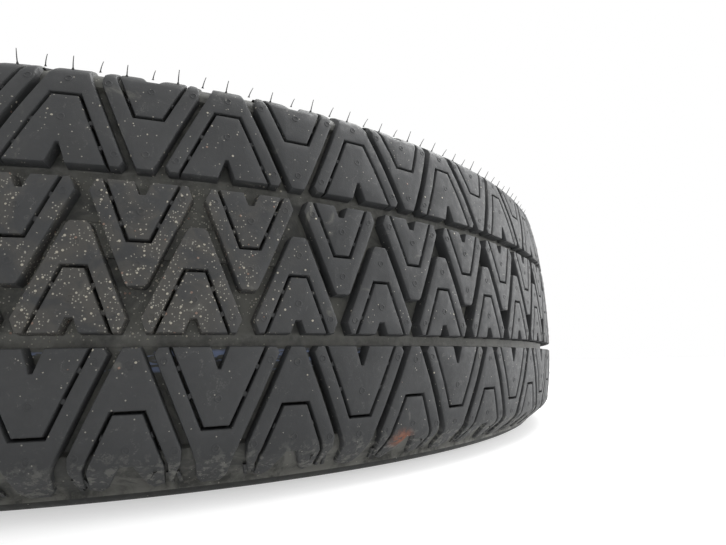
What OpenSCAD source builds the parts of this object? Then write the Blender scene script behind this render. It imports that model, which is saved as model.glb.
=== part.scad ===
// Temporary spare wheel: pneumatic tyre on a rolled steel rim with a pressed disc and a
// snap-in valve. Millimetres. The axle line is Z, the outboard side is up, and the origin is
// the middle of the wheel. The valve stands at +X.

/* [Tyre] */
// Outside radius at the middle of the tread
tyre_r = 285; // [265:0.1:305]
// Section width, and the height the wheel lies at
tyre_w = 135; // [125:0.5:150]
// Half width of the central rib
rib_half = 21; // [16:0.1:24]
// Half distance to the outer lip of each main groove
groove_out = 24.8; // [20:0.1:28]
// Half width of the tread where the shoulder rounds off
tread_half = 53.6; // [48:0.1:57]
// Depth of the two main grooves
groove_depth = 5; // [3:0.1:7]
// Depth of the cross grooves of the central rib
cross_depth = 4.5; // [2:0.1:6]
// Depth of the diagonal grooves of the shoulder ribs
shoulder_depth = 4.1; // [2:0.1:6]
// Rubber between the groove floor and the air chamber
under_tread = 5.4; // [4:0.1:9]

/* [Tread pattern] */
// Trapezoid blocks of one kind round each shoulder rib
shoulder_blocks = 40; // [30:1:50]
// Trapezoid blocks of one kind round the central rib
central_blocks = 60; // [45:1:75]
// Half width of a central block at its wide end
central_wide = 13.2; // [9:0.1:13.5]
// Half width of a central block at its narrow end
central_narrow = 2.7; // [1.5:0.1:5]
// Half width of a shoulder block at its wide end
shoulder_wide = 16.9; // [10:0.1:18]
// Half width of a shoulder block at its narrow end
shoulder_narrow = 6.4; // [3:0.1:8]
// Width of the diagonal grooves along the tread
diagonal_w = 2.3; // [1.5:0.1:3.5]

/* [Rim] */
// Sheet thickness of the rolled rim
rim_t = 2.6; // [2:0.1:4]
// Radius of the bead seat
seat_r = 190.1; // [185:0.1:195]
// Half distance between the flanges
rim_half = 50.8; // [44:0.1:60]
// Height of the flange above the bead seat
flange_h = 17.3; // [14:0.1:20]
// Radius of the well on the tyre side
well_r = 172.8; // [168:0.1:178]
// Half width of the flat of the well
well_half = 12; // [9:0.5:16]

/* [Disc] */
// Sheet thickness of the pressed disc
disc_t = 3.5; // [2.5:0.1:5]
// Height of the hub face above the middle of the wheel
hub_face_z = 32; // [20:0.5:40]
// Diameter of the centre bore
bore_d = 57.1; // [50:0.1:75]
// Pitch circle of the wheel bolts
bolt_pcd = 112; // [98:0.5:120]
// Wheel bolt holes
bolt_count = 5; // [4:1:6]
// Diameter of a wheel bolt hole
bolt_hole_d = 15; // [12:0.1:18]
// Ventilation holes
vent_count = 10; // [6:1:16]
// Diameter of a ventilation hole
vent_d = 22; // [15:0.5:26]
// Radius the ventilation holes stand on
vent_r = 129; // [124:0.5:134]
// Length of each arc weld between rim and disc, in degrees
weld_arc = 52; // [20:1:80]
// Leg of the weld bead
weld_leg = 3.2; // [2:0.1:5]

/* [Valve] */
// Radius of the valve hole in the rim
valve_hole_r = 5.65; // [5:0.05:8]
// Radius of the stem thread
stem_r = 3.85; // [3.5:0.05:4.5]
// How far the stem stands out of the rim
stem_len = 33.5; // [28:0.5:45]
// Radius of the chamber the core sits in
core_bore_r = 2.6; // [2.2:0.05:3]
// Free way of the core pin
pin_travel = 1.5; // [0.8:0.1:2]

/* [Fits] */
// Radial clearance between cap and stem thread
cap_gap = 0.08; // [0.03:0.01:0.1]
// Radial clearance between core pin and its guide
pin_gap = 0.06; // [0.03:0.01:0.1]

/* [Hidden] */

rubber = "#46484b";
steel = "#17181a";
brass = "#b89a5a";
plastic = "#202224";

round_fn = 360;
small_fn = 48;
side_half = tyre_w / 2;
out = 8;               // how far cutters run past the tread
seam = 0.9;            // turns the cutters off the seam of the turned body
lip = 0.25;            // keeps the cutters' corners off the lips of the main grooves

function flip(p) = [for (i = [len(p) - 1:-1:0]) [p[i][0], -p[i][1]]];
function mirrored(p) = concat(p, [for (i = [len(p) - 1:-1:0]) [-p[i][0], p[i][1]]]);
function unit(v) = v / norm(v);
function left_of(v) = [-v[1], v[0]];
// a strip of sheet: the path, and back along its left side at distance t
function sheet(p, t) = concat(p, [for (i = [len(p) - 1:-1:0])
    let (a = unit(p[min(i + 1, len(p) - 1)] - p[min(i, len(p) - 2)]),
         b = unit(p[max(i, 1)] - p[max(i - 1, 0)]),
         n = left_of(a) + left_of(b))
    p[i] + n * t / (1 + a * b)]);

// rim: the tyre side of one flange, bead seat and hump, from the lip inwards
flange_r = seat_r + flange_h;
rim_edge = [[flange_r, -rim_half - 9.6], [flange_r - 0.6, -rim_half - 6.4],
    [flange_r - 2.4, -rim_half - 3.3], [flange_r - 5.2, -rim_half - 1.0],
    [flange_r - 8.6, -rim_half], [seat_r + 3.3, -rim_half], [seat_r + 0.9, -rim_half + 1.4],
    [seat_r, -rim_half + 4.2], [seat_r - 1.2, -rim_half + 17.8]];
rim_slope = [[seat_r - 0.1, -rim_half + 20.2], [seat_r - 0.3, -rim_half + 22],
    [seat_r - 1.5, -well_half - 15]];
rim_path = concat(rim_edge, rim_slope, [[well_r, -well_half], [well_r, well_half]],
    flip(rim_slope), flip(rim_edge));
slope_a = [well_r, well_half];
slope_b = [seat_r - 1.5, well_half + 15];

// tyre: outer wall and tread of the lower half, from the flange to the middle
tread_r = [tyre_r - 0.7, tyre_r - 1.0, tyre_r - 1.9, tyre_r - 3.4, tyre_r - 4.9];
half_out = [[flange_r + 1.6, -rim_half - 4.7], [flange_r + 5, -rim_half - 7.8],
    [flange_r + 8, -side_half + 6.3], [flange_r + 8.6, -side_half + 5.1],
    [flange_r + 9.6, -side_half + 4.6], [flange_r + 10.4, -side_half + 4.8],
    [flange_r + 16, -side_half + 2.2], [flange_r + 22, -side_half + 0.4],
    [flange_r + 24, -side_half], [flange_r + 32, -side_half], [tyre_r - 36.5, -side_half + 0.9],
    [tyre_r - 28, -side_half + 2.3], [tyre_r - 21.5, -side_half + 4],
    [tyre_r - 15.5, -side_half + 6.1], [tyre_r - 11.4, -side_half + 8.1],
    [tyre_r - 8.4, -tread_half - 3.8], [tyre_r - 6.2, -tread_half - 2],
    [tread_r[4], -tread_half], [tread_r[3], -tread_half + 7], [tread_r[2], -tread_half + 17],
    [tread_r[1], -groove_out], [tyre_r - groove_depth, -groove_out + 0.9],
    [tyre_r - groove_depth, -rib_half - 0.8], [tread_r[0], -rib_half],
    [tyre_r, -rib_half / 2]];
liner_r = tyre_r - groove_depth - under_tread;
half_in = [[liner_r + 0.6, -10], [liner_r, -side_half + 35], [tyre_r - 14, -side_half + 22.5],
    [tyre_r - 20, -side_half + 14], [tyre_r - 29, -side_half + 9],
    [flange_r + 28, -side_half + 6.4], [flange_r + 18, -side_half + 7.6],
    [flange_r + 8, -side_half + 12.5], [seat_r + 16, -rim_half + 5.2],
    [seat_r + 8, -rim_half + 11], [seat_r + 1.4, -rim_half + 17.4]];
bead = [for (i = [8:-1:2]) rim_edge[i]];
tyre_profile = concat(bead, half_out, flip(half_out), flip(bead), flip(half_in), half_in);

// tread cutters, drawn flat: x round the tyre, y across it
central_half = PI * tyre_r / central_blocks;
shoulder_half = PI * tyre_r / shoulder_blocks;
taper_end = rib_half - 3.4;
central_cut = concat(
    [[central_half - central_wide + 1.3, rib_half + 1.2],
     [central_half - central_wide + 1.3, rib_half - lip], [central_half - central_wide, taper_end],
     [central_half - central_narrow, -7.5], [central_half - central_narrow + 0.8, -8.6],
     [central_half - 0.3, -8.6], [central_half - 0.3, -rib_half - 1.2],
     [central_wide - 1.3, -rib_half - 1.2], [central_wide - 1.3, -rib_half + lip],
     [central_wide, -taper_end], [central_narrow, 7.5], [central_narrow - 0.7, 8.5]]);
shoulder_end = tread_half - 1.6;
shoulder_cut = [[shoulder_half - shoulder_wide + 1, groove_out - 1.3],
    [shoulder_half - shoulder_wide + 1, groove_out + lip],
    [shoulder_half - shoulder_wide, groove_out + 1.7],
    [shoulder_half - shoulder_narrow, shoulder_end],
    [shoulder_half - shoulder_narrow - diagonal_w, shoulder_end],
    [shoulder_half - shoulder_wide - diagonal_w, groove_out + 1.7],
    [shoulder_half - shoulder_wide - diagonal_w - 0.9, groove_out + lip],
    [shoulder_half - shoulder_wide - diagonal_w - 0.9, groove_out - 1.3]];
crown_tilt = atan((tread_r[1] - tread_r[4]) / (tread_half - groove_out));

// disc: the hub side, from the collar round the bore to the skirt under the well
skirt_r = well_r - rim_t - disc_t;
disc_path = [[bore_d / 2, hub_face_z + 11], [bore_d / 2, hub_face_z + 2.2],
    [bore_d / 2 + 2.4, hub_face_z], [72, hub_face_z], [78, hub_face_z + 2],
    [86, hub_face_z + 8], [94, hub_face_z + 11.4], [103, hub_face_z + 12.6],
    [112, hub_face_z + 11.6], [vent_r - 9, hub_face_z + 8.6], [vent_r + 10, hub_face_z - 3],
    [skirt_r - 14, hub_face_z - 13], [skirt_r - 4, hub_face_z - 22],
    [skirt_r, hub_face_z - 29], [skirt_r, -well_half + 3]];
seat_h = 2.2;

// valve: its own axis runs out of the rim wall, square to the slope beside the well
slope_mid = (slope_a + slope_b) / 2;
valve_tilt = -atan2(slope_b[1] - slope_a[1], slope_b[0] - slope_a[0]);
core_top = stem_len - 2.3;
core_shelf = stem_len - 9.5;
core_foot = stem_len - 13.5;
pin_r = 0.6;
spring_r = 1.05;
wire_r = 0.16;
spring_top = stem_len - 4;
cap_r = 4.9;
cap_top = stem_len + 2.6;
cap_foot = stem_len - 9;

module radial(turn, r, h) {
    rotate([0, 0, turn]) translate([r, 0, 0]) rotate([90, 0, 90]) linear_extrude(h) children();
}

module central_cuts() {
    for (i = [0:central_blocks - 1])
        radial(i * 360 / central_blocks, tyre_r - cross_depth, out - 2)
            polygon(mirrored(central_cut));
}

// stands a flat cutter on one shoulder rib, its floor in line with the crown there
module on_shoulder(side, turn, depth) {
    rotate([side, 0, 0]) rotate([0, 0, turn]) translate([tread_r[1], 0, groove_out])
        rotate([0, -crown_tilt, 0]) translate([-depth, 0, -groove_out]) rotate([90, 0, 90])
        linear_extrude(out) children();
}

module shoulder_cuts() {
    for (side = [0, 180], i = [0:shoulder_blocks - 1])
        on_shoulder(side, (side > 0 ? -1 : 1) * i * 360 / shoulder_blocks, shoulder_depth)
            polygon(mirrored(shoulder_cut));
}

// the turned body's seam lies a little aside, so no cutter runs along it
module tyre() {
    color(rubber) difference() {
        difference() {
            rotate_extrude($fn = round_fn) polygon(tyre_profile);
            rotate([0, 0, -seam]) central_cuts();
        }
        rotate([0, 0, -seam]) shoulder_cuts();
    }
}

module at_valve() {
    translate([slope_mid[0], 0, slope_mid[1]]) rotate([0, valve_tilt, 0])
        translate([0, 0, rim_t]) children();
}

module rim() {
    color(steel) difference() {
        rotate_extrude($fn = round_fn) polygon(sheet(rim_path, rim_t));
        at_valve() translate([0, 0, -3 * rim_t])
            cylinder(h = 6 * rim_t, r = valve_hole_r, $fn = small_fn);
    }
}

module disc() {
    color(steel) difference() {
        union() {
            rotate_extrude($fn = round_fn) polygon(sheet(disc_path, disc_t));
            for (i = [0:bolt_count - 1]) rotate([0, 0, i * 360 / bolt_count])
                translate([bolt_pcd / 2, 0, hub_face_z + disc_t - 0.5])
                cylinder(h = seat_h + 0.5, r1 = bolt_hole_d / 2 + 7, r2 = bolt_hole_d / 2 + 5,
                    $fn = small_fn);
        }
        for (i = [0:bolt_count - 1]) rotate([0, 0, i * 360 / bolt_count])
            translate([bolt_pcd / 2, 0, hub_face_z]) {
                translate([0, 0, -1]) cylinder(h = out + disc_t, r = bolt_hole_d / 2,
                    $fn = small_fn);
                translate([0, 0, disc_t + seat_h - 4])
                    cylinder(h = 5, r1 = bolt_hole_d / 2 - 0.5, r2 = bolt_hole_d / 2 + 4.5,
                        $fn = small_fn);
            }
        for (i = [0:vent_count - 1]) rotate([0, 0, (i + 0.5) * 360 / vent_count])
            translate([vent_r, 0, 0]) cylinder(h = hub_face_z * 2, r = vent_d / 2,
                $fn = small_fn);
    }
}

module weld_beads() {
    color("#2c2d2f") for (i = [0:3]) rotate([0, 0, 45 + i * 90 - weld_arc / 2])
        rotate_extrude(angle = weld_arc, $fn = round_fn) translate([skirt_r, -well_half + 3])
            polygon([[0, 0], [disc_t, 0], [disc_t, -weld_leg * 1.2],
                [disc_t - weld_leg * 0.7, -weld_leg * 0.8]]);
}

module valve_rubber() {
    color("#1b1c1e") at_valve() rotate_extrude($fn = small_fn)
        polygon([[stem_r, -6.6], [6.2, -6.6], [7.8, -4.6], [7.8, -rim_t - 0.9],
            [7.2, -rim_t], [valve_hole_r, -rim_t], [valve_hole_r, 0], [7.4, 0],
            [7.4, 1.1], [6.6, 2.2], [5.7, stem_len - 12.5], [5.2, stem_len - 10.6],
            [stem_r, stem_len - 10.6]]);
}

module valve_stem() {
    color(brass) at_valve() difference() {
        union() {
            translate([0, 0, -7.4]) cylinder(h = stem_len + 7.4 - 0.4, r = stem_r,
                $fn = small_fn);
            translate([0, 0, stem_len - 0.4]) cylinder(h = 0.4, r1 = stem_r, r2 = stem_r - 0.4,
                $fn = small_fn);
        }
        translate([0, 0, -8]) cylinder(h = stem_len, r = 1.5, $fn = small_fn);
        translate([0, 0, core_foot - 6]) cylinder(h = stem_len, r = core_bore_r,
            $fn = small_fn);
        for (i = [0:8]) translate([0, 0, stem_len - 1.2 - i * 0.8]) rotate_extrude($fn = small_fn)
            polygon([[stem_r - 0.3, 0], [stem_r + 1, -0.42], [stem_r + 1, 0.42]]);
    }
}

module core_housing() {
    color(brass) at_valve() difference() {
        translate([0, 0, core_foot]) cylinder(h = core_top - core_foot, r = core_bore_r,
            $fn = small_fn);
        translate([0, 0, core_foot - 1]) cylinder(h = 20, r = pin_r + pin_gap, $fn = small_fn);
        translate([0, 0, core_shelf]) cylinder(h = 20, r = 1.5, $fn = small_fn);
        for (i = [0:3]) rotate([0, 0, i * 90]) translate([0.95, -0.2, core_foot - 1])
            cube([0.4, 0.4, 5 + core_shelf - core_foot]);
    }
}

module core_pin() {
    color(brass) at_valve() rotate_extrude($fn = small_fn)
        polygon([[0, core_foot - 2], [1.9, core_foot - 2], [1.9, core_foot - 1.1],
            [pin_r, core_foot - 1.1], [pin_r, spring_top], [1.2, spring_top],
            [1.2, spring_top + 0.8], [pin_r, spring_top + 0.8], [pin_r, stem_len - 1],
            [0, stem_len - 1]]);
}

module core_seal() {
    color("#151515") at_valve() translate([0, 0, core_foot - 1.1]) difference() {
        cylinder(h = 1.1, r = 1.9, $fn = small_fn);
        translate([0, 0, -1]) cylinder(h = 4, r = pin_r, $fn = small_fn);
    }
}

spring_turns = 5;
spring_steps = 20;
wire_sides = 6;
spring_n = spring_turns * spring_steps;
spring_rise = spring_top - core_shelf - 2 * wire_r;
spring_points = [for (i = [0:spring_n], j = [0:wire_sides - 1])
    let (turn = i * 360 / spring_steps, side = j * 360 / wire_sides,
         r = spring_r + wire_r * cos(side))
    [r * cos(turn), r * sin(turn),
     core_shelf + wire_r + spring_rise * i / spring_n + wire_r * sin(side)]];
spring_faces = concat(
    [[for (j = [0:wire_sides - 1]) j]],
    [[for (j = [wire_sides - 1:-1:0]) spring_n * wire_sides + j]],
    [for (i = [0:spring_n - 1], j = [0:wire_sides - 1], half = [0, 1])
        let (a = i * wire_sides + j, b = i * wire_sides + (j + 1) % wire_sides)
        half == 0 ? [a, a + wire_sides, b] : [b, a + wire_sides, b + wire_sides]]);

module core_spring() {
    color("#9a9c9e") at_valve() polyhedron(spring_points, spring_faces);
}

module valve_cap() {
    color(plastic) at_valve() difference() {
        union() {
            translate([0, 0, cap_foot]) cylinder(h = cap_top - cap_foot - 0.8, r = cap_r,
                $fn = small_fn);
            translate([0, 0, cap_top - 0.8]) cylinder(h = 0.8, r1 = cap_r, r2 = cap_r - 0.8,
                $fn = small_fn);
        }
        translate([0, 0, cap_foot - 1]) cylinder(h = cap_top - cap_foot - 0.4,
            r = stem_r + cap_gap, $fn = small_fn);
        for (i = [0:11]) rotate([0, 0, i * 30]) translate([cap_r + 0.25, 0, cap_foot + 2])
            cylinder(h = cap_top, r = 0.6, $fn = 16);
    }
}

module cap_seal() {
    color("#151515") at_valve() translate([0, 0, stem_len + 0.2])
        cylinder(h = cap_top - 1.4 - stem_len - 0.2, r = stem_r + cap_gap, $fn = small_fn);
}

tyre();
rim();
disc();
weld_beads();
valve_rubber();
valve_stem();
core_housing();
core_pin();
core_seal();
core_spring();
valve_cap();
cap_seal();
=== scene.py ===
# %% [markdown]
# # A temporary spare wheel
# A spare of this kind is a narrow tyre with a shallow tread on a plain pressed steel wheel.
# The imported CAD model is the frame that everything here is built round: the rim, the disc and
# the valve keep their CAD shapes and get their finishes, and the tyre is built again with the
# fine detail of its mould. The script is one long lesson, to be run from top to bottom.

# %% Load the frame
import math

import bmesh
import bpy
import numpy as np
from mathutils import Matrix, Vector


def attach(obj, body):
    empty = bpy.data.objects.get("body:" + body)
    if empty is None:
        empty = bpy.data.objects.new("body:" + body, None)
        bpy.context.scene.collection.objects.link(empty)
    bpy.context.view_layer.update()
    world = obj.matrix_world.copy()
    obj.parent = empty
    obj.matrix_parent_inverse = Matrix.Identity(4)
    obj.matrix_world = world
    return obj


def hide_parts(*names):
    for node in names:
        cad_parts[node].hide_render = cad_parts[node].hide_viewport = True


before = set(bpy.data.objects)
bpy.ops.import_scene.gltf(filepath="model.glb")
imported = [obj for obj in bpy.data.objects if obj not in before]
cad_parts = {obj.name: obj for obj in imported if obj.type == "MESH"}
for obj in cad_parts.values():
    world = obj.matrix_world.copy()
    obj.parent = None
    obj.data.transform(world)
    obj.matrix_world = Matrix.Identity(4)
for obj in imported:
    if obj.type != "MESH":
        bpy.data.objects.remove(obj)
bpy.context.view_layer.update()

# %% [markdown]
# ## The tyre's sizes
# A tyre's tread is drawn flat by its maker, with x round the tyre and z across it, and is then
# wrapped on to a curved crown. The same is done here, in millimetres. The wheel could be
# modelled round from the start, but a flat drawing is far easier to get right. The pattern
# repeats after three central pairs of blocks, which are as long as two shoulder pairs.

# %% Sizes in millimetres, as in the CAD source
MM = 0.001
R = 285.0                       # outside radius at the middle of the tread
SIDE = 67.5                     # half of the section width
CENTRAL, SHOULDER = 60, 40      # pairs of blocks in the central rib and in a shoulder rib
CELLS = 20                      # times that the whole pattern repeats
CENTRAL_PAIRS, SHOULDER_PAIRS = CENTRAL // CELLS, SHOULDER // CELLS
CENTRAL_PITCH = 2 * math.pi * R / CENTRAL
SHOULDER_PITCH = 2 * math.pi * R / SHOULDER
PHASE = math.radians(-99.9)     # where a narrow shoulder block meets an upturned central one
print("pitches", round(CENTRAL_PITCH, 2), round(SHOULDER_PITCH, 2), "mm")

# %% [markdown]
# ## The crown
# The crown is the curve of the tread from one shoulder to the other: nearly flat in the
# middle, rounder towards the edges. A curve object could be sampled for it, but a few heights
# close to those of the CAD source, with straight lines between them, follow it well enough.
# The middle is a tenth of a millimetre lower than in the CAD model, so that the raised vent
# marks stay inside its box. The lower shoulder is the fuller one of the two.

# %% Crown curve: height across the tyre and radius
CROWN = [(0, 284.87), (10.5, 284.75), (21, 284.3), (24.8, 284), (36.6, 283.1), (46.6, 281.6),
         (53.6, 280.1), (55.6, 278.8), (57.4, 276.6)]
TOP_EDGE = [(59.4, 273.6), (61.4, 269.5), (63.5, 263.5), (64.3, 260.4)]
LOW_EDGE = [(59.4, 274.0), (61.4, 271.4), (62.8, 269.4), (64.3, 268.0)]


def crown(z):
    """Radius of the tread surface at a height."""
    line = CROWN + (TOP_EDGE if z > 0 else LOW_EDGE)
    return float(np.interp(abs(z), [c[0] for c in line], [c[1] for c in line]))


def bent(x, z, depth):
    """A point of the flat tread drawing, rolled on to the tyre, in metres."""
    a = PHASE + x / R
    r = crown(z) - depth
    return Vector((r * math.cos(a), r * math.sin(a), z)) * MM


print("radius at the edges", crown(SIDE), crown(-SIDE))

# %% [markdown]
# ## One helper for all nodes
# Every finish and every Geometry Nodes tree below is a small network of nodes. One function
# adds a node, sets it and links it, so that each network reads as a list. Colours are written
# as the hex values that a paint chart would give, and are turned to linear light here.

# %% Colours and the node helper
def srgb(code):
    """A hex colour as linear RGBA."""
    c = [int(code[i:i + 2], 16) / 255 for i in (0, 2, 4)]
    return tuple(v / 12.92 if v <= 0.04045 else ((v + 0.055) / 1.055) ** 2.4 for v in c) + (1,)


def live(node):
    """The output that a node gives with its settings: the first one that is switched on."""
    return next(o for o in node.outputs if o.enabled)


def add(tree, kind, inputs=(), **settings):
    """One node with its settings; a node or a socket given as an input is linked to it."""
    n = tree.nodes.new(kind)
    for k, v in settings.items():
        setattr(n, k, v)
    for k, v in dict(inputs).items():
        if isinstance(v, bpy.types.Node):
            v = live(v)
        if isinstance(v, bpy.types.NodeSocket):
            tree.links.new(v, n.inputs[k])
        else:
            n.inputs[k].default_value = v
    return n


UNDER, OVER = 6, 7              # the two colour inputs of a Mix node
SOFT = {"interpolation_type": "SMOOTHSTEP"}
print("node helper ready")


# %% A bare material to start from
def material(name, color, rough, metallic, ior):
    """A shader with its fixed values; its tree is ready for the finish."""
    m = bpy.data.materials.new(name)
    m.use_nodes = True
    p = m.node_tree.nodes["Principled BSDF"]
    for socket, value in (("Base Color", srgb(color)), ("Roughness", rough),
                          ("Metallic", metallic), ("IOR", ior)):
        p.inputs[socket].default_value = value
    return m, m.node_tree, p


# %% [markdown]
# ## Dirt, grain and where they lie
# Dust on a used tyre lies in cloudy patches, thicker in some places than in others. A picture
# could be wrapped round the tyre for it, but a pattern made from Object coordinates has no
# seam and no limit of sharpness. Each pattern's size is given in millimetres. A finish is
# built as on the real thing: one thin coat over another, each where its pattern is strong.

# %% Patterns in millimetres
def blotches(t, across, detail=4, rough=0.55, wander=0.0, stretch=None):
    """A cloudy pattern whose patches are about this many millimetres across."""
    where = add(t, "ShaderNodeTexCoord").outputs["Object"]
    if stretch:
        where = add(t, "ShaderNodeMapping", {"Vector": where, "Scale": stretch})
    return add(t, "ShaderNodeTexNoise", {"Vector": where, "Scale": 1 / (across * MM),
               "Detail": detail, "Roughness": rough, "Distortion": wander})


def grains(t, apart, share, radius):
    """Round grains: one in each cell of this size in millimetres, where share lets it."""
    where = add(t, "ShaderNodeTexCoord").outputs["Object"]
    cells = add(t, "ShaderNodeTexVoronoi", {"Vector": where, "Scale": 1 / (apart * MM)})
    lot = add(t, "ShaderNodeSeparateColor", {0: cells.outputs["Color"]})
    body = add(t, "ShaderNodeMapRange", {"Value": cells.outputs["Distance"],
               "From Min": radius * 0.7, "From Max": radius, "To Min": 1.0, "To Max": 0.0},
               **SOFT)
    taken = add(t, "ShaderNodeMath", {0: lot.outputs[0], 1: share}, operation="LESS_THAN")
    return add(t, "ShaderNodeMath", {0: body, 1: taken}, operation="MULTIPLY"), lot


# %% Places on the tyre
def across_tyre(t, start, full, both_sides=False, least=0.0):
    """The share by height over the middle plane: least at start, 1 at full, in mm."""
    where = add(t, "ShaderNodeTexCoord").outputs["Object"]
    z = add(t, "ShaderNodeSeparateXYZ", {0: where}).outputs[2]
    if both_sides:
        z = add(t, "ShaderNodeMath", {0: z}, operation="ABSOLUTE")
    return add(t, "ShaderNodeMapRange", {"Value": z, "From Min": start * MM,
               "From Max": full * MM, "To Min": least, "To Max": 1.0}, **SOFT)


def near(t, place, inner, outer):
    """1 within inner mm of a point of the tyre, 0 beyond outer mm."""
    where = add(t, "ShaderNodeTexCoord").outputs["Object"]
    d = add(t, "ShaderNodeVectorMath", {0: where, 1: place}, operation="DISTANCE")
    return add(t, "ShaderNodeMapRange", {"Value": d, "From Min": inner * MM,
               "From Max": outer * MM, "To Min": 1.0, "To Max": 0.0}, **SOFT)


# %% Coats of colour and layers of grain
def coat(t, under, over, pattern, low, high, most=1.0, least=0.0, only=()):
    """A colour laid over another where a pattern is strong, and only in some places."""
    share = add(t, "ShaderNodeMapRange", {"Value": pattern, "From Min": low,
                "From Max": high, "To Min": least, "To Max": most}, **SOFT)
    for place in only:
        share = add(t, "ShaderNodeMath", {0: share, 1: place}, operation="MULTIPLY")
    return add(t, "ShaderNodeMix", {"Factor": share, UNDER: under, OVER: srgb(over)},
               data_type="RGBA")


def finish(t, p, color, pattern, span, dull, layers):
    """Colour, dullness and relief on the shader; a layer is a pattern and its depth in mm."""
    sheen = add(t, "ShaderNodeMapRange", {"Value": pattern, "From Min": span[0],
                "From Max": span[1], "To Min": dull[0], "To Max": dull[1]}, **SOFT)
    relief = {}
    for height, depth in layers:
        relief = {"Normal": add(t, "ShaderNodeBump", {"Height": height, "Strength": 1.0,
                  "Distance": depth * MM, **relief})}
    for socket, node in {"Base Color": color, "Roughness": sheen, **relief}.items():
        t.links.new(live(node), p.inputs[socket])


print("coats and layers ready")

# %% [markdown]
# ## Tyre rubber
# Tyre rubber is black from the carbon in it, and turns a dull blue grey with age. It is
# moulded, so it has the fine matt grain of a blasted steel mould: a low gloss, and a relief of
# a twentieth of a millimetre. The base colour is therefore never black, and the gloss is low.
# Three finishes share it: the tread's running face, the grooves, which hold dirt, and the
# sidewalls, which stay cleaner.

# %% Where the used tyre is dirtiest, in metres
DUSTY = (-0.062, -0.275, 0.008)     # the patch of the tread with the most grit
CLAY = (0.036, -0.279, -0.0585)     # a small mark of red clay on the lower shoulder
GRIT, FINE_GRIT = 1.25, 0.6         # grain spacing in mm; real dust is finer than shows here


def dusty_patch(t, smear):
    """The share of grit: a patch of the central rib, broken up by smears."""
    share = add(t, "ShaderNodeMapRange", {"Value": smear, "From Min": 0.38,
                "From Max": 0.62, "To Min": 0.0, "To Max": 1.0}, **SOFT)
    for place in (near(t, DUSTY, 28, 72),
                  across_tyre(t, 24.5, 21, both_sides=True, least=0.1)):
        share = add(t, "ShaderNodeMath", {0: share, 1: place}, operation="MULTIPLY")
    return share


# %% Grit that sits on the rubber
def gritty(t, color, dusty):
    """Pale and reddish grains on a colour, most of them in the dusty patch."""
    share = add(t, "ShaderNodeMath", {0: dusty, 1: 0.30, 2: 0.004}, operation="MULTIPLY_ADD")
    grit, lot = grains(t, GRIT, share, 0.33)
    reddish = add(t, "ShaderNodeMath", {0: lot.outputs[1], 1: 0.8}, operation="GREATER_THAN")
    stone = add(t, "ShaderNodeMix", {"Factor": reddish, UNDER: srgb("b3aea0"),
                OVER: srgb("8a7468")}, data_type="RGBA")
    visible = add(t, "ShaderNodeMath", {0: grit, 1: 0.85}, operation="MULTIPLY")
    color = add(t, "ShaderNodeMix", {"Factor": visible, UNDER: color, OVER: stone},
                data_type="RGBA")
    share = add(t, "ShaderNodeMath", {0: dusty, 1: 0.35, 2: 0.012}, operation="MULTIPLY_ADD")
    fine_grit, lot = grains(t, FINE_GRIT, share, 0.4)
    visible = add(t, "ShaderNodeMath", {0: fine_grit, 1: 0.7}, operation="MULTIPLY")
    color = add(t, "ShaderNodeMix", {"Factor": visible, UNDER: color, OVER: srgb("a5a298")},
                data_type="RGBA")
    return color, grit


# %% Dirt of each part of the tyre
def tread_dirt(t, color, marks):
    """Running face: dust in the gritty patch, pale smears, scuffs at the shoulders."""
    streaks = blotches(t, 4.5, 5, 0.65, wander=1.2)
    edge = across_tyre(t, 52.5, 61, both_sides=True)
    low_edge = across_tyre(t, -50, -60)
    rubbed = add(t, "ShaderNodeMapRange", {"Value": marks["tiny"], "From Min": 0.45,
                 "From Max": 0.6, "To Min": 0.0, "To Max": 1.0}, **SOFT)
    dust = add(t, "ShaderNodeMath", {0: marks["dusty"], 1: 0.35}, operation="MULTIPLY")
    color = add(t, "ShaderNodeMix", {"Factor": dust, UNDER: color, OVER: srgb("5e5a52")},
                data_type="RGBA")
    color = coat(t, color, "77766f", marks["smear"], 0.62, 0.74, most=0.4)
    color = coat(t, color, "73736d", streaks, 0.52, 0.66, most=0.7, only=[edge])
    color = coat(t, color, "84847f", marks["fine"], 0.5, 0.62, most=0.75, only=[low_edge])
    return coat(t, color, "6c6c69", streaks, 0.56, 0.72, most=0.5, only=[rubbed])


def groove_dirt(t, color, marks):
    """Grooves: dried mud, pale dust in the two main grooves, a faint line of blue paint."""
    main = [across_tyre(t, 20, 21.5, both_sides=True), across_tyre(t, 26, 24.5, both_sides=True)]
    edge = across_tyre(t, 52.5, 61, both_sides=True)
    low_edge = across_tyre(t, -50, -61)
    line = [across_tyre(t, -31.8, -30.5), across_tyre(t, -25.0, -26.2)]
    streaks = blotches(t, 6, 3, 0.6, stretch=(1, 1, 4))
    color = coat(t, color, "5c5c57", marks["smear"], 0.36, 0.62, most=0.9, least=0.2)
    color = coat(t, color, "6f6f6b", marks["fine"], 0.3, 0.7, most=0.8, least=0.2, only=main)
    color = coat(t, color, "6f6f69", marks["fine"], 0.46, 0.7, most=0.8, only=[edge])
    color = coat(t, color, "7d7d78", marks["smear"], 0.42, 0.6, most=0.8, only=[low_edge])
    return coat(t, color, "8492b4", streaks, 0.49, 0.57, most=0.85, only=line)


def wall_dirt(t, color, marks):
    """Sidewalls: a thin brownish film."""
    return coat(t, color, "4c4b46", marks["smear"], 0.45, 0.8, most=0.35)


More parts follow.
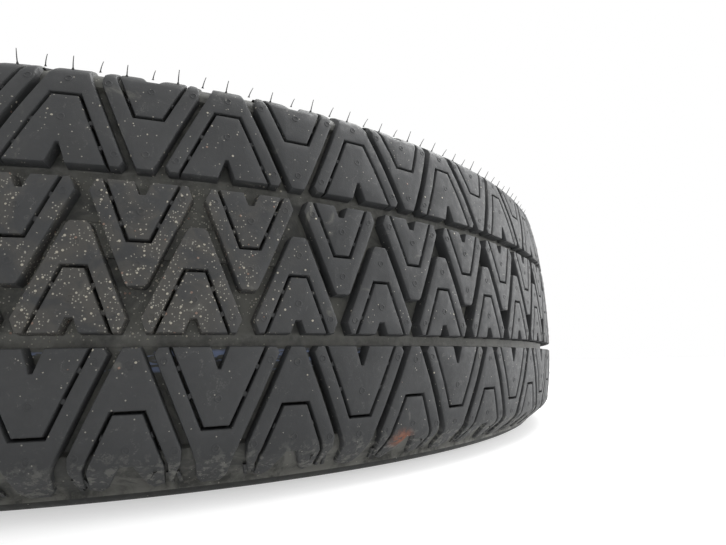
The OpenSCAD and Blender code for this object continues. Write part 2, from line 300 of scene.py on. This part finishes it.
# %% The three rubber finishes
def rubber(name, base, dust, amount, dirt):
    """Grey aged rubber with moulded grain, dust and grit, and the dirt of its place."""
    m, t, p = material(name, base, 0.6, 0.0, 1.5)
    p.inputs["Specular IOR Level"].default_value = 0.3
    big = blotches(t, 45, 3)
    fine = blotches(t, 2.2, 6, 0.65)
    tiny = blotches(t, 0.45, 3, 0.7)
    smear = blotches(t, 11, 5, 0.62, wander=0.8)
    dusty = dusty_patch(t, smear)
    marks = {"fine": fine, "tiny": tiny, "smear": smear, "dusty": dusty}
    color = coat(t, srgb(base), dust, big, 0.35, 0.7, most=amount)
    color = coat(t, color, dust, fine, 0.52, 0.78, most=amount)
    color = dirt(t, color, marks)
    color = coat(t, color, "9a5a3c", fine, 0.35, 0.5, only=[near(t, CLAY, 2, 7.5)])
    color, grit = gritty(t, color, dusty)
    finish(t, p, color, fine, (0.3, 0.7), (0.52, 0.7), ((tiny, 0.05), (fine, 0.10), (grit, 0.25)))
    print("material", name)
    return m


tread_rubber = rubber("tread_rubber", "363738", "444546", 0.5, tread_dirt)
groove_rubber = rubber("groove_rubber", "2b2c2c", "41423f", 0.5, groove_dirt)
wall_rubber = rubber("wall_rubber", "2d2e2e", "3f403d", 0.6, wall_dirt)

# %% [markdown]
# ## The tread blocks
# The tread has three ribs of blocks that stand head to tail. Each block is a trapezoid with a
# sipe, a thin cut that gives grip, so it is really an outer V or A shape with a second block
# inside it. The blocks could be cut out of a solid band with booleans, which is slow and leaves
# poor edges. Here each block is raised from its outline instead: a flat top, a rounded edge
# and a wall that flares a little, as the mould needs it to let go of the rubber.

# %% Block outlines, in millimetres before they are stretched to the real pitch
A_OUT = [(-10.9, -19.6), (-9.4, -19.6), (-2.95, -3.1), (2.95, -3.1), (9.4, -19.6),
         (10.9, -19.6), (12.24, -16.2), (2.6, 7.3), (1.9, 8.1), (-1.9, 8.1), (-2.6, 7.3),
         (-12.24, -16.2)]
A_IN = [(-8.6, -19.6), (-2.2, -19.6), (-0.8, -16.0), (0.8, -16.0), (2.2, -19.6),
        (8.6, -19.6), (2.3, -3.9), (-2.3, -3.9)]
W_OUT = [(-14.66, 23.1), (-12.45, 23.1), (-3.8, 43.9), (3.8, 43.9), (12.45, 23.1),
         (14.66, 23.1), (15.68, 24.8), (5.9, 48.1), (4.6, 51.6), (3.9, 56.6), (2.4, 58.5),
         (-2.4, 58.5), (-3.9, 56.6), (-4.6, 51.6), (-5.9, 48.1), (-15.68, 24.8)]
W_IN = [(-11.6, 23.1), (-2.3, 23.1), (-0.35, 28.8), (0.35, 28.8), (2.3, 23.1), (11.6, 23.1),
        (3.15, 43.1), (-3.15, 43.1)]
N_OUT = [(-1.92, 23.1), (1.92, 23.1), (2.85, 25.0), (12.6, 48.3), (12.5, 51.6), (11.0, 56.4),
         (9.9, 57.0), (9.55, 51.6), (3.95, 38.2), (-3.95, 38.2), (-9.55, 51.6), (-9.9, 57.0),
         (-11.0, 56.4), (-12.5, 51.6), (-12.6, 48.3), (-2.85, 25.0)]
N_IN = [(-3.3, 39.0), (3.3, 39.0), (8.7, 52.0), (8.9, 57.4), (6.4, 58.4), (4.8, 57.2),
        (1.6, 51.4), (-1.6, 51.4), (-4.8, 57.2), (-6.4, 58.4), (-8.9, 57.4), (-8.7, 52.0)]
LONGER, WIDER = 1.080, 1.072    # from the drawn outlines to the tyre's pitch and width
print("outline corners", [len(o) for o in (A_OUT, A_IN, W_OUT, W_IN, N_OUT, N_IN)])


# %% Outline helpers
def moved(loop, x, flip=False):
    """An outline at its place round the tyre; flipped, it lies on the other side."""
    return [(p[0] * LONGER + x, p[1] * (-WIDER if flip else WIDER)) for p in loop]


def area(loop):
    """Signed area: below zero when the outline runs clockwise."""
    return sum(a[0] * b[1] - b[0] * a[1] for a, b in zip(loop, loop[1:] + loop[:1])) / 2


def inset(loop, d):
    """The loop moved inwards by d, corner by corner; the loop runs anticlockwise."""
    pts = [Vector(p) for p in loop]
    out = []
    for i, p in enumerate(pts):
        e0 = (p - pts[i - 1]).normalized()
        e1 = (pts[(i + 1) % len(pts)] - p).normalized()
        n0, n1 = Vector((-e0.y, e0.x)), Vector((-e1.y, e1.x))
        out.append(p + (n0 + n1) * d / max(1 + n0.dot(n1), 0.25))
    return out


# %% A block, raised from its outline
FLARE = 0.3                     # how far a wall leans out at its foot
CENTRAL_DEPTH, SHOULDER_DEPTH = 4.7, 4.4


def block(bm, loop, floor, sunk=0.0):
    """Flat top, rounded edge and flared wall down to the floor; the top may be sunk."""
    if area(loop) < 0:
        loop = loop[::-1]
    rings = []
    soft = 0.2 if sunk else 1.0
    for d, depth in ((0.5 * soft, 0.0), (0.17 * soft, 0.12), (0.0, 0.45 * soft),
                     (-FLARE, floor)):
        rings.append([bm.verts.new((p.x, p.y, -max(depth, depth * soft + sunk)))
                      for p in inset(loop, d)])
    bm.faces.new(rings[0])
    n = len(loop)
    for a, b in zip(rings, rings[1:]):
        for i in range(n):
            bm.faces.new((a[i], b[i], b[(i + 1) % n], a[(i + 1) % n]))


# %% [markdown]
# ## Small marks of the mould
# A tread mould lets its air out through small round vents, and each leaves a low ring with a
# dimple. Sipes are bridged here and there by a low tie, which keeps the rubber from folding.
# Both are small, so they get few faces, but they are real shapes, because a bump alone would
# be lost when the mesh is used elsewhere.

# %% Vent marks and ties
DOT_SIDES = 12
DOT_RINGS = ((1.15, -0.05), (1.0, 0.12), (0.72, 0.12), (0.4, -0.25))   # radius and height


def dot(bm, x, z):
    """The round mark that a mould vent leaves: a low ring with a dimple."""
    turns = [k * 2 * math.pi / DOT_SIDES for k in range(DOT_SIDES)]
    rings = [[bm.verts.new((x + r * math.cos(a), z + r * math.sin(a), h)) for a in turns]
             for r, h in DOT_RINGS]
    for a, b in zip(rings, rings[1:]):
        for i in range(DOT_SIDES):
            j = (i + 1) % DOT_SIDES
            bm.faces.new((a[i], a[j], b[j], b[i]))
    bm.faces.new(rings[-1])


def tie(bm, a, b, share, out, flip, x):
    """A low bridge across a sipe, at a share of the leg from a to b, on both legs."""
    a, b = Vector(a), Vector(b)
    t = (b - a).normalized()
    n = Vector((t.y, -t.x)) * out
    c = a.lerp(b, share)
    loop = [c - t * 0.55 - n * 0.3, c + t * 0.55 - n * 0.3, c + t * 0.75 + n * 1.2,
            c - t * 0.35 + n * 1.2]
    for mirror in (1, -1):
        block(bm, moved([(p.x * mirror, p.y) for p in loop], x, flip), 2.0, 0.8)


# %% A block with its inner block, ties and vent marks
def whole_block(bm, outlines, depth, leg, out, ties, dots, x, flip):
    """One place of the pattern, with all that stands on it."""
    for outline in outlines:
        block(bm, moved(outline, x, flip), depth)
    for share in ties:
        tie(bm, *leg, share, out, flip, x)
    for place in dots:
        dot(bm, *moved([place], x, flip)[0])


def shoulder_slots(bm, x, flip):
    """Fine slanted ribs at the outer end of a wide shoulder block."""
    for px in (-13.6, -11.4, -9.2, 8.2, 10.4, 12.6):
        rib = [(px, 54.2), (px + 0.8, 54.2), (px + 2.0, 57.6), (px + 1.2, 57.6)]
        block(bm, moved(rib, x, flip), 3.0, 0.9)


# %% The blocks of one cell, still flat
def flat_cell():
    """One repeat of the whole pattern as a flat mesh."""
    bm = bmesh.new()
    for k in range(CENTRAL_PAIRS):
        for flip, x in ((False, (k + 0.5) * CENTRAL_PITCH), (True, k * CENTRAL_PITCH)):
            whole_block(bm, (A_OUT, A_IN), CENTRAL_DEPTH, A_IN[5:7], 1, (0.3, 0.72),
                        ((0, -11.3), (-9.7, -15.6), (9.7, -15.6), (0, 2.6)), x, flip)
    for k in range(SHOULDER_PAIRS):
        for flip in (False, True):
            x = (k + 0.5) * SHOULDER_PITCH
            whole_block(bm, (W_OUT, W_IN), SHOULDER_DEPTH, W_IN[5:7], 1, (0.25, 0.6),
                        ((0, 36.2), (0, 48.6), (-13.2, 26.6), (13.2, 26.6)), x, flip)
            shoulder_slots(bm, x, flip)
            whole_block(bm, (N_OUT, N_IN), SHOULDER_DEPTH, N_IN[1:3], -1, (0.4,),
                        ((0, 27.4), (0, 47.4), (-11, 48.4), (11, 48.4)),
                        k * SHOULDER_PITCH, flip)
    bm.normal_update()
    bmesh.ops.triangulate(bm, faces=bm.faces[:])
    return bm


# %% [markdown]
# ## Rolling the drawing on to the crown
# A flat face can only bend where it has edges, so the flat cell is first cut into strips, at
# heights where the crown turns and every few millimetres round the tyre. Then each point goes
# to its place on the crown. A Curve or Lattice modifier could bend it too, but this keeps
# every height exact.

# %% Cut heights, and the cell rolled on to the crown
HALF_CUTS = (6.6, 14, 27.7, 32.8, 38.4, 44, 49.2, 53.6, 54.9, 56.2, 57.4, 58.8, 60, 61.2, 62.4)
CUTS = [-z for z in reversed(HALF_CUTS)] + [0.01] + list(HALF_CUTS)
STRIP, STRIPS = 6.9, range(-3, 15)     # mm round the tyre between cuts, and the cuts
SHARP = math.radians(24)        # edges of blocks stay crisp, the crown looks smooth


def sliced(bm, at, normal):
    """The mesh with an edge wherever a plane crosses it."""
    bmesh.ops.bisect_plane(bm, geom=bm.verts[:] + bm.edges[:] + bm.faces[:], dist=1e-5,
                           plane_co=at, plane_no=normal)


def rolled_cell():
    """The flat cell, cut into strips and set on the crown."""
    bm = flat_cell()
    for z in CUTS:
        sliced(bm, (0, z, 0), (0, 1, 0))
    for i in STRIPS:
        sliced(bm, (i * STRIP + 0.01, 0, 0), (1, 0, 0))
    for v in bm.verts:
        v.co = bent(v.co.x, v.co.y, -v.co.z)
    bmesh.ops.triangulate(bm, faces=bm.faces[:])
    bmesh.ops.recalc_face_normals(bm, faces=bm.faces[:])
    me = bpy.data.meshes.new("tread_cell")
    bm.to_mesh(me)
    bm.free()
    me.shade_smooth()
    me.set_sharp_from_angle(angle=SHARP)
    print("cell", len(me.polygons), "triangles")
    return me


# %% [markdown]
# ## Setting a piece round the tyre
# The tread is the same cell twenty times, and each row of whiskers one whisker forty times.
# Copies could be made in a loop, but a Geometry Nodes tree says it once: points, each with its
# own turn about the axle, an instance on each, made real and given its material. The result is
# taken as a plain mesh.

# %% Geometry Nodes: copies turned round the axle line
def shown(name, me):
    """An object for a mesh, in the scene."""
    o = bpy.data.objects.new(name, me)
    bpy.context.scene.collection.objects.link(o)
    return o


def ring_tree(name, source, mat):
    """A tree that turns copies of source round Z, joined and with a material."""
    g = bpy.data.node_groups.new(name, "GeometryNodeTree")
    g.interface.new_socket("Count", in_out="INPUT", socket_type="NodeSocketInt")
    g.interface.new_socket("Step", in_out="INPUT", socket_type="NodeSocketFloat")
    g.interface.new_socket("Geometry", in_out="OUTPUT", socket_type="NodeSocketGeometry")
    sizes = add(g, "NodeGroupInput")
    points = add(g, "GeometryNodeMeshLine", {"Count": sizes.outputs["Count"],
                 "Offset": (0, 0, 0)}, mode="OFFSET")
    turn = add(g, "ShaderNodeMath", {0: add(g, "GeometryNodeInputIndex"),
               1: sizes.outputs["Step"]}, operation="MULTIPLY")
    spin = add(g, "ShaderNodeCombineXYZ", {"Z": turn})
    info = add(g, "GeometryNodeObjectInfo", {"Object": source})
    copies = add(g, "GeometryNodeInstanceOnPoints", {"Points": points,
                 "Instance": info.outputs["Geometry"], "Rotation": spin})
    real = add(g, "GeometryNodeRealizeInstances", {0: copies})
    painted = add(g, "GeometryNodeSetMaterial", {"Geometry": real, "Material": mat})
    add(g, "NodeGroupOutput", {0: painted})
    return g


def set_round(name, me, count, mat):
    """The mesh set round the tyre this many times, as one plain mesh object."""
    source = shown(me.name, me)
    maker = shown(name + "_maker", bpy.data.meshes.new(name + "_maker"))
    nodes = maker.modifiers.new("ring", "NODES")
    nodes.node_group = ring_tree(name + " ring", source, mat)
    sizes = {"Count": count, "Step": 2 * math.pi / count}
    for socket in nodes.node_group.interface.items_tree:
        if socket.in_out == "INPUT":
            nodes[socket.identifier] = sizes[socket.name]
    dep = bpy.context.evaluated_depsgraph_get()
    result = bpy.data.meshes.new_from_object(maker.evaluated_get(dep), depsgraph=dep)
    bpy.data.objects.remove(maker)
    bpy.data.objects.remove(source)
    result.name = name
    print(name, len(result.polygons), "faces")
    return shown(name, result)


# %% The tread
tread = set_round("tyre_tread", rolled_cell(), CELLS, tread_rubber)

# %% [markdown]
# ## The casing
# Under the blocks lies the casing: the floors of the grooves, the sidewalls, the beads that
# grip the rim and the side that faces the air inside. On the real tyre it is one moulded piece
# with the tread. It has the same section all the way round, so one closed outline is turned
# about the axle line. The floors are given by their depth under the crown, and the wall by
# height and radius. A few fine grooves run round each sidewall, which also draw the eye off
# small unevenness of the cords below.

# %% Floors under the crown: height across and depth
HALF_FLOOR = [(-0.5, 4.8), (-0.4, 4.1), (9.1, 4.1), (9.8, 4.8), (20.6, 4.8), (21.3, 5.2),
              (24.3, 5.2), (25.0, 4.6), (50.8, 4.5), (51.8, 2.8), (53.6, 2.6), (54.9, 2.5),
              (56.2, 2.4), (57.4, 2.3), (58.8, 2.1), (60.6, 1.9), (62.2, 1.5), (63.2, 0.7),
              (63.9, 0.0)]
LOW_FLOOR = [(-z, d) for z, d in reversed(HALF_FLOOR) if z > 9.5] + [(-9.8, 4.8)]
floor = [(z, crown(z) - d) for z, d in LOW_FLOOR + HALF_FLOOR]

# %% Sidewall, bead and air side: height across and radius
LOW_BUTTRESS = [(64.6, 267.8), (65.4, 266.9), (66.1, 265.5), (66.5, 263.6), (66.4, 261.0),
                (66.0, 258.0), (66.4, 250.0), (67.1, 243.5)]
TOP_BUTTRESS = [(64.5, 259.6), (65.2, 257.0), (66.6, 248.5), (67.2, 243.5)]
FACE = [(67.5, 239.4), (67.5, 231.4), (67.1, 229.4), (66.3, 226.2), (65.3, 223.4)]
BEAD = [(62.7, 217.8), (62.9, 217.0), (62.4, 216.0), (61.2, 215.4), (58.6, 212.4),
        (55.5, 209.0), (54.1, 205.0), (51.8, 202.2), (50.8, 198.8), (50.8, 193.4),
        (49.4, 191.0), (46.6, 190.1)]
AIR_SIDE = [(33.0, 188.9), (33.4, 191.5), (39.8, 198.1), (45.6, 206.1), (55.0, 215.4),
            (59.9, 225.4), (61.1, 235.4), (58.5, 256.0), (53.5, 265.0), (45.0, 271.0),
            (32.5, 274.6), (10.0, 275.2)]
RINGS = (253.0, 251.0, 249.0, 229.6, 227.6)    # radii of the fine grooves
RING_DEPTH, RING_HALF = 0.4, 0.7


def ringed(points):
    """The wall line with a fine moulded groove at each radius of RINGS."""
    zs, rs = [p[0] for p in points][::-1], [p[1] for p in points][::-1]
    out = list(points)
    for r in RINGS:
        for dr, dz in ((1, 0), (0.5, RING_DEPTH), (-0.5, RING_DEPTH), (-1, 0)):
            at = r + dr * RING_HALF
            out.append((float(np.interp(at, rs, zs)) - dz, at))
    return sorted(out, key=lambda p: -p[1])


top_side = ringed(TOP_BUTTRESS + FACE) + BEAD + AIR_SIDE
low_side = ringed(LOW_BUTTRESS + FACE) + BEAD + AIR_SIDE
profile = floor + top_side + [(-z, r) for z, r in reversed(low_side)]
print("section corners", len(profile))


# %% The section, turned round the axle line
def revolve(name, points, steps, mat):
    """A closed section of (height, radius) turned round the axle line."""
    n = len(points)
    a = np.arange(steps) * 2 * math.pi / steps
    z = np.array([p[0] for p in points])[None, :]
    r = np.array([p[1] for p in points])[None, :]
    xyz = np.stack([r * np.cos(a)[:, None], r * np.sin(a)[:, None],
                    z + 0 * a[:, None]], -1).reshape(-1, 3) * MM
    faces = [(i * n + j, ((i + 1) % steps) * n + j, ((i + 1) % steps) * n + (j + 1) % n,
              i * n + (j + 1) % n) for i in range(steps) for j in range(n)]
    me = bpy.data.meshes.new(name)
    me.from_pydata([tuple(p) for p in xyz], [], faces)
    me.shade_smooth()
    me.set_sharp_from_angle(angle=math.radians(32))
    me.materials.append(mat)
    print(name, len(me.polygons), "faces")
    return shown(name, me)


casing = revolve("tyre_casing", profile, CELLS * 16, groove_rubber)
casing.data.materials.append(wall_rubber)
WALL_FROM, WALL_TO = 63.8 * MM, 256.5 * MM     # least height and largest radius of the walls
for f in casing.data.polygons:
    if abs(f.center.z) > WALL_FROM or math.hypot(f.center.x, f.center.y) < WALL_TO:
        f.material_index = 1

# %% [markdown]
# ## Moulding whiskers
# A new tyre carries thin rubber whiskers where rubber was pressed into the mould's vents. They
# stand at the upper shoulder, six to a block and not all alike. The particle system could grow
# them, but the real ones stand at the mould's vents, in even rows. So one whisker of each of
# seven kinds is built as a tapered six-sided tube that leans and curls, and set round the
# tyre. The last kind is the short stubs that are left at the lower shoulder.

# %% A whisker, as a tapered tube
SIDES, LENGTHS = 6, 6
ROOT_R, ROOT_Z = 276.9, 57.2    # where a whisker grows from


def whisker(lean, height, thick, side):
    """A thin whisker; lean, height and thickness in millimetres, side 1 up or -1 down."""
    bm = bmesh.new()
    rings = []
    for i in range(LENGTHS + 1):
        s = i / LENGTHS
        c = Vector((ROOT_R + 0.55 * height * s, lean * (s * 0.4 + s * s * 0.6),
                    side * (ROOT_Z + height * (0.83 * s + 0.1 * s * s))))
        foot = 1 + 1.2 * max(0, 0.12 - s) / 0.12
        rad = thick * foot * (1 - 0.45 * s)
        rings.append([bm.verts.new((c + Vector((-0.8 * rad * math.sin(t), rad * math.cos(t),
                      0.5 * rad * math.sin(t)))) * MM)
                      for t in (k * 2 * math.pi / SIDES for k in range(SIDES))])
    for a, b in zip(rings, rings[1:]):
        for i in range(SIDES):
            bm.faces.new((a[i], a[(i + 1) % SIDES], b[(i + 1) % SIDES], b[i]))
    bm.faces.new(rings[-1])
    me = bpy.data.meshes.new("whisker")
    bm.to_mesh(me)
    bm.free()
    me.shade_smooth()
    return me


# %% Seven kinds of whisker, each set round the tyre
KINDS = ((0.25, 3.9, 0.2, 1), (0.9, 3.2, 0.19, 1), (0.5, 3.5, 0.2, 1), (1.1, 3.0, 0.18, 1),
         (0.4, 3.0, 0.2, 1), (0.8, 2.7, 0.18, 1), (-0.8, 1.3, 0.25, -1))
PER_BLOCK = 6
whiskers = []
for i, kind in enumerate(KINDS):
    me = whisker(*kind)
    me.transform(Matrix.Rotation((i + 0.35) * 2 * math.pi / SHOULDER / PER_BLOCK, 4, "Z"))
    whiskers.append(set_round(f"tyre_whiskers_{i}", me, SHOULDER, wall_rubber))

# %% The tyre's pieces ride on the wheel and stand for the CAD tyre
for piece in [tread, casing] + whiskers:
    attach(piece, "wheel")
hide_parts("tyre")
print("tyre pieces", 2 + len(whiskers))

# %% [markdown]
# ## The steel wheel
# Rim and disc are pressed from steel sheet and dipped in black paint. Such paint is smooth and
# half gloss, with a faint orange peel of a few millimetres, and dust dulls it in clouds.
# The CAD shapes are right as they are, so they only get their finish. The paint covers the
# metal, so it is not metallic, and its index of refraction is that of a common resin, 1.5.

# %% Black dipped paint
def paint(name, color):
    """Half gloss black paint on steel, with orange peel and a film of dust."""
    m, t, p = material(name, color, 0.38, 0.0, 1.5)
    peel = blotches(t, 3.5, 3)
    grime = blotches(t, 28, 5, 0.6)
    color = coat(t, srgb(color), "2b2926", grime, 0.5, 0.75, most=0.5)
    finish(t, p, color, grime, (0.35, 0.7), (0.32, 0.55), ((peel, 0.06),))
    return m


# %% [markdown]
# ## Weld beads and valve
# The rest are small parts, each of one material: painted weld metal with its ripple, the
# valve's moulded rubber, its brass stem and core, the spring's bright steel and the cap's hard
# plastic. They are small in any picture, so each has one grain pattern, sized from its real
# surface, that dulls and darkens it a little. The metals keep the default refraction.

# %% Small parts
def plain(name, color, rough, metallic, ior, grain, depth):
    """A one-material part with grain of this size and depth in millimetres."""
    m, t, p = material(name, color, rough, metallic, ior)
    g = blotches(t, grain, 5, 0.6)
    color = coat(t, srgb(color), "3a3530", g, 0.4, 0.75, most=0.5)
    finish(t, p, color, g, (0.3, 0.7), (rough - 0.07, rough + 0.1), ((g, depth),))
    return m


looks = {
    # black dip paint on sheet steel: smooth, with long soft highlights
    "rim": paint("rim_dip_paint", "17181a"), "disc": paint("disc_dip_paint", "17181a"),
    # the same paint over the ripple of a weld: duller, with small uneven gleams
    "weld_beads": plain("painted_weld_metal", "1d1e1f", 0.5, 0.0, 1.5, 1.6, 0.2),
    # moulded rubber: matt, nearly without highlights
    "valve_rubber": plain("moulded_valve_rubber", "1c1d1e", 0.6, 0.0, 1.52, 0.8, 0.03),
    # turned brass, a little tarnished: warm yellow reflections
    "valve_stem": plain("turned_brass", "b5914c", 0.34, 1.0, 1.5, 1.2, 0.01),
    # moulded seal rubber: black and matt
    "core_seal": plain("moulded_seal_rubber", "161616", 0.6, 0.0, 1.52, 0.5, 0.01),
    # drawn spring steel: bright grey
    "core_spring": plain("drawn_spring_steel", "a6a6a6", 0.3, 1.0, 1.5, 0.4, 0.005),
    # moulded hard plastic: black with a soft satin gleam
    "valve_cap": plain("moulded_cap_plastic", "1d1f20", 0.45, 0.0, 1.49, 0.9, 0.02),
}
looks["core_housing"] = looks["core_pin"] = looks["valve_stem"]
looks["cap_seal"] = looks["core_seal"]
for node, mat in looks.items():
    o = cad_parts[node]
    o.data.materials.clear()
    o.data.materials.append(mat)
print("materials on", len(looks), "nodes")

# %% [markdown]
# ## Floor and backdrop
# The wheel lies flat on a plain pale floor. To keep both floor and backdrop white without more
# light on the wheel, they shine only for rays that come straight from the camera, a mirror or
# a clear body, and stay ordinary for the rays that carry light. The floor keeps the shadow.

# %% White only where it is looked at
def backdrop_rays(t):
    """1 for rays that should meet the white backdrop itself, 0 for rays that carry light."""
    path = add(t, "ShaderNodeLightPath")
    seen = path.outputs["Is Camera Ray"]
    for ray in ("Is Glossy Ray", "Is Transmission Ray"):
        seen = add(t, "ShaderNodeMath", {0: seen, 1: path.outputs[ray]}, operation="MAXIMUM")
    return seen


FLOOR_HALF, FLOOR_GLOW = 9.0, 0.55             # metres; strength that brings it to white
corners = ((-1, -1), (1, -1), (1, 1), (-1, 1))
me = bpy.data.meshes.new("floor")
me.from_pydata([(x * FLOOR_HALF, y * FLOOR_HALF, -SIDE * MM) for x, y in corners], [],
               [(0, 1, 2, 3)])
ground = shown("floor", me)
m, t, p = material("floor_pale", "bdbdbd", 0.9, 0.0, 1.5)
p.inputs["Specular IOR Level"].default_value = 0.1
p.inputs["Emission Color"].default_value = (1, 1, 1, 1)
glow = add(t, "ShaderNodeMath", {0: backdrop_rays(t), 1: FLOOR_GLOW}, operation="MULTIPLY")
t.links.new(live(glow), p.inputs["Emission Strength"])
me.materials.append(m)

# %% [markdown]
# ## Studio light
# A large soft sky, brighter from above and from the right, gives the blocks soft edges, and
# two square lamps give the walls of the grooves their gleam. One sun would be simpler but
# would leave the grooves black. Lights and camera are turned together about the axle line, so
# that the part of the tread that the picture shows comes into view.

# %% Sky and lamps
TURN = Matrix.Rotation(math.radians(-7.3), 4, "Z")
world = bpy.data.worlds.new("studio")
world.use_nodes = True
wt = world.node_tree
toward = add(wt, "ShaderNodeVectorMath", {0: add(wt, "ShaderNodeTexCoord").outputs["Generated"],
             1: TURN.to_3x3() @ Vector((0.30, 0.42, 0.86))}, operation="DOT_PRODUCT")
sky = add(wt, "ShaderNodeMapRange", {"Value": toward, "From Min": -0.6, "From Max": 0.8,
          "To Min": 0.22, "To Max": 1.45}, **SOFT)
level = add(wt, "ShaderNodeMix", {0: backdrop_rays(wt), 2: sky, 3: 1.0}, data_type="FLOAT")
wt.links.new(live(level), wt.nodes["Background"].inputs["Strength"])
wt.nodes["Background"].inputs["Color"].default_value = (1, 1, 1, 1)
bpy.context.scene.world = world


def lamp(name, place, target, size, watts):
    """A square soft lamp that faces a point."""
    d = bpy.data.lights.new(name, "AREA")
    d.size, d.energy = size, watts
    o = shown(name, d)
    o.location = place
    o.rotation_euler = (Vector(target) - Vector(place)).to_track_quat("-Z", "Y").to_euler()


lamp("key", TURN @ Vector((0.9, 0.1, 1.4)), (0, -0.25, 0), 1.2, 34)
lamp("fill", TURN @ Vector((1.6, -0.35, 0.3)), (0.2, -0.2, 0), 1.0, 16)

# %% [markdown]
# ## Camera
# The picture is taken from close by and from just below the middle of the tread, looking up
# along it. The place and the angles were found by fitting the corners of the blocks and the
# right-hand edge of the tyre. The place is given in tyre radii, so it follows the size.

# %% Camera
yaw, pitch, roll = -0.3704, 0.1967, -0.0250
BACK, BELOW = 1.4688, 0.1072    # in tyre radii
FOCAL_PIXELS, PHOTO_WIDTH, SENSOR = 460.47, 726, 36
ahead = Vector((-math.cos(pitch) * math.sin(yaw), math.cos(pitch) * math.cos(yaw),
                math.sin(pitch)))
level_right = Vector((math.cos(yaw), math.sin(yaw), 0))
up = level_right.cross(ahead)
right = math.cos(roll) * level_right + math.sin(roll) * up
top = -math.sin(roll) * level_right + math.cos(roll) * up
cam = shown("camera", bpy.data.cameras.new("camera"))
facing = Matrix((right, top, -ahead)).transposed().to_4x4()
cam.matrix_world = TURN @ Matrix.Translation((0, -BACK * R * MM, -BELOW * R * MM)) @ facing
cam.data.sensor_fit = "HORIZONTAL"
cam.data.sensor_width = SENSOR
cam.data.lens = FOCAL_PIXELS / PHOTO_WIDTH * SENSOR
cam.data.clip_start = 0.01
bpy.context.scene.camera = cam
bpy.context.scene.view_settings.view_transform = "Standard"
print("lens", round(cam.data.lens, 2), "mm")
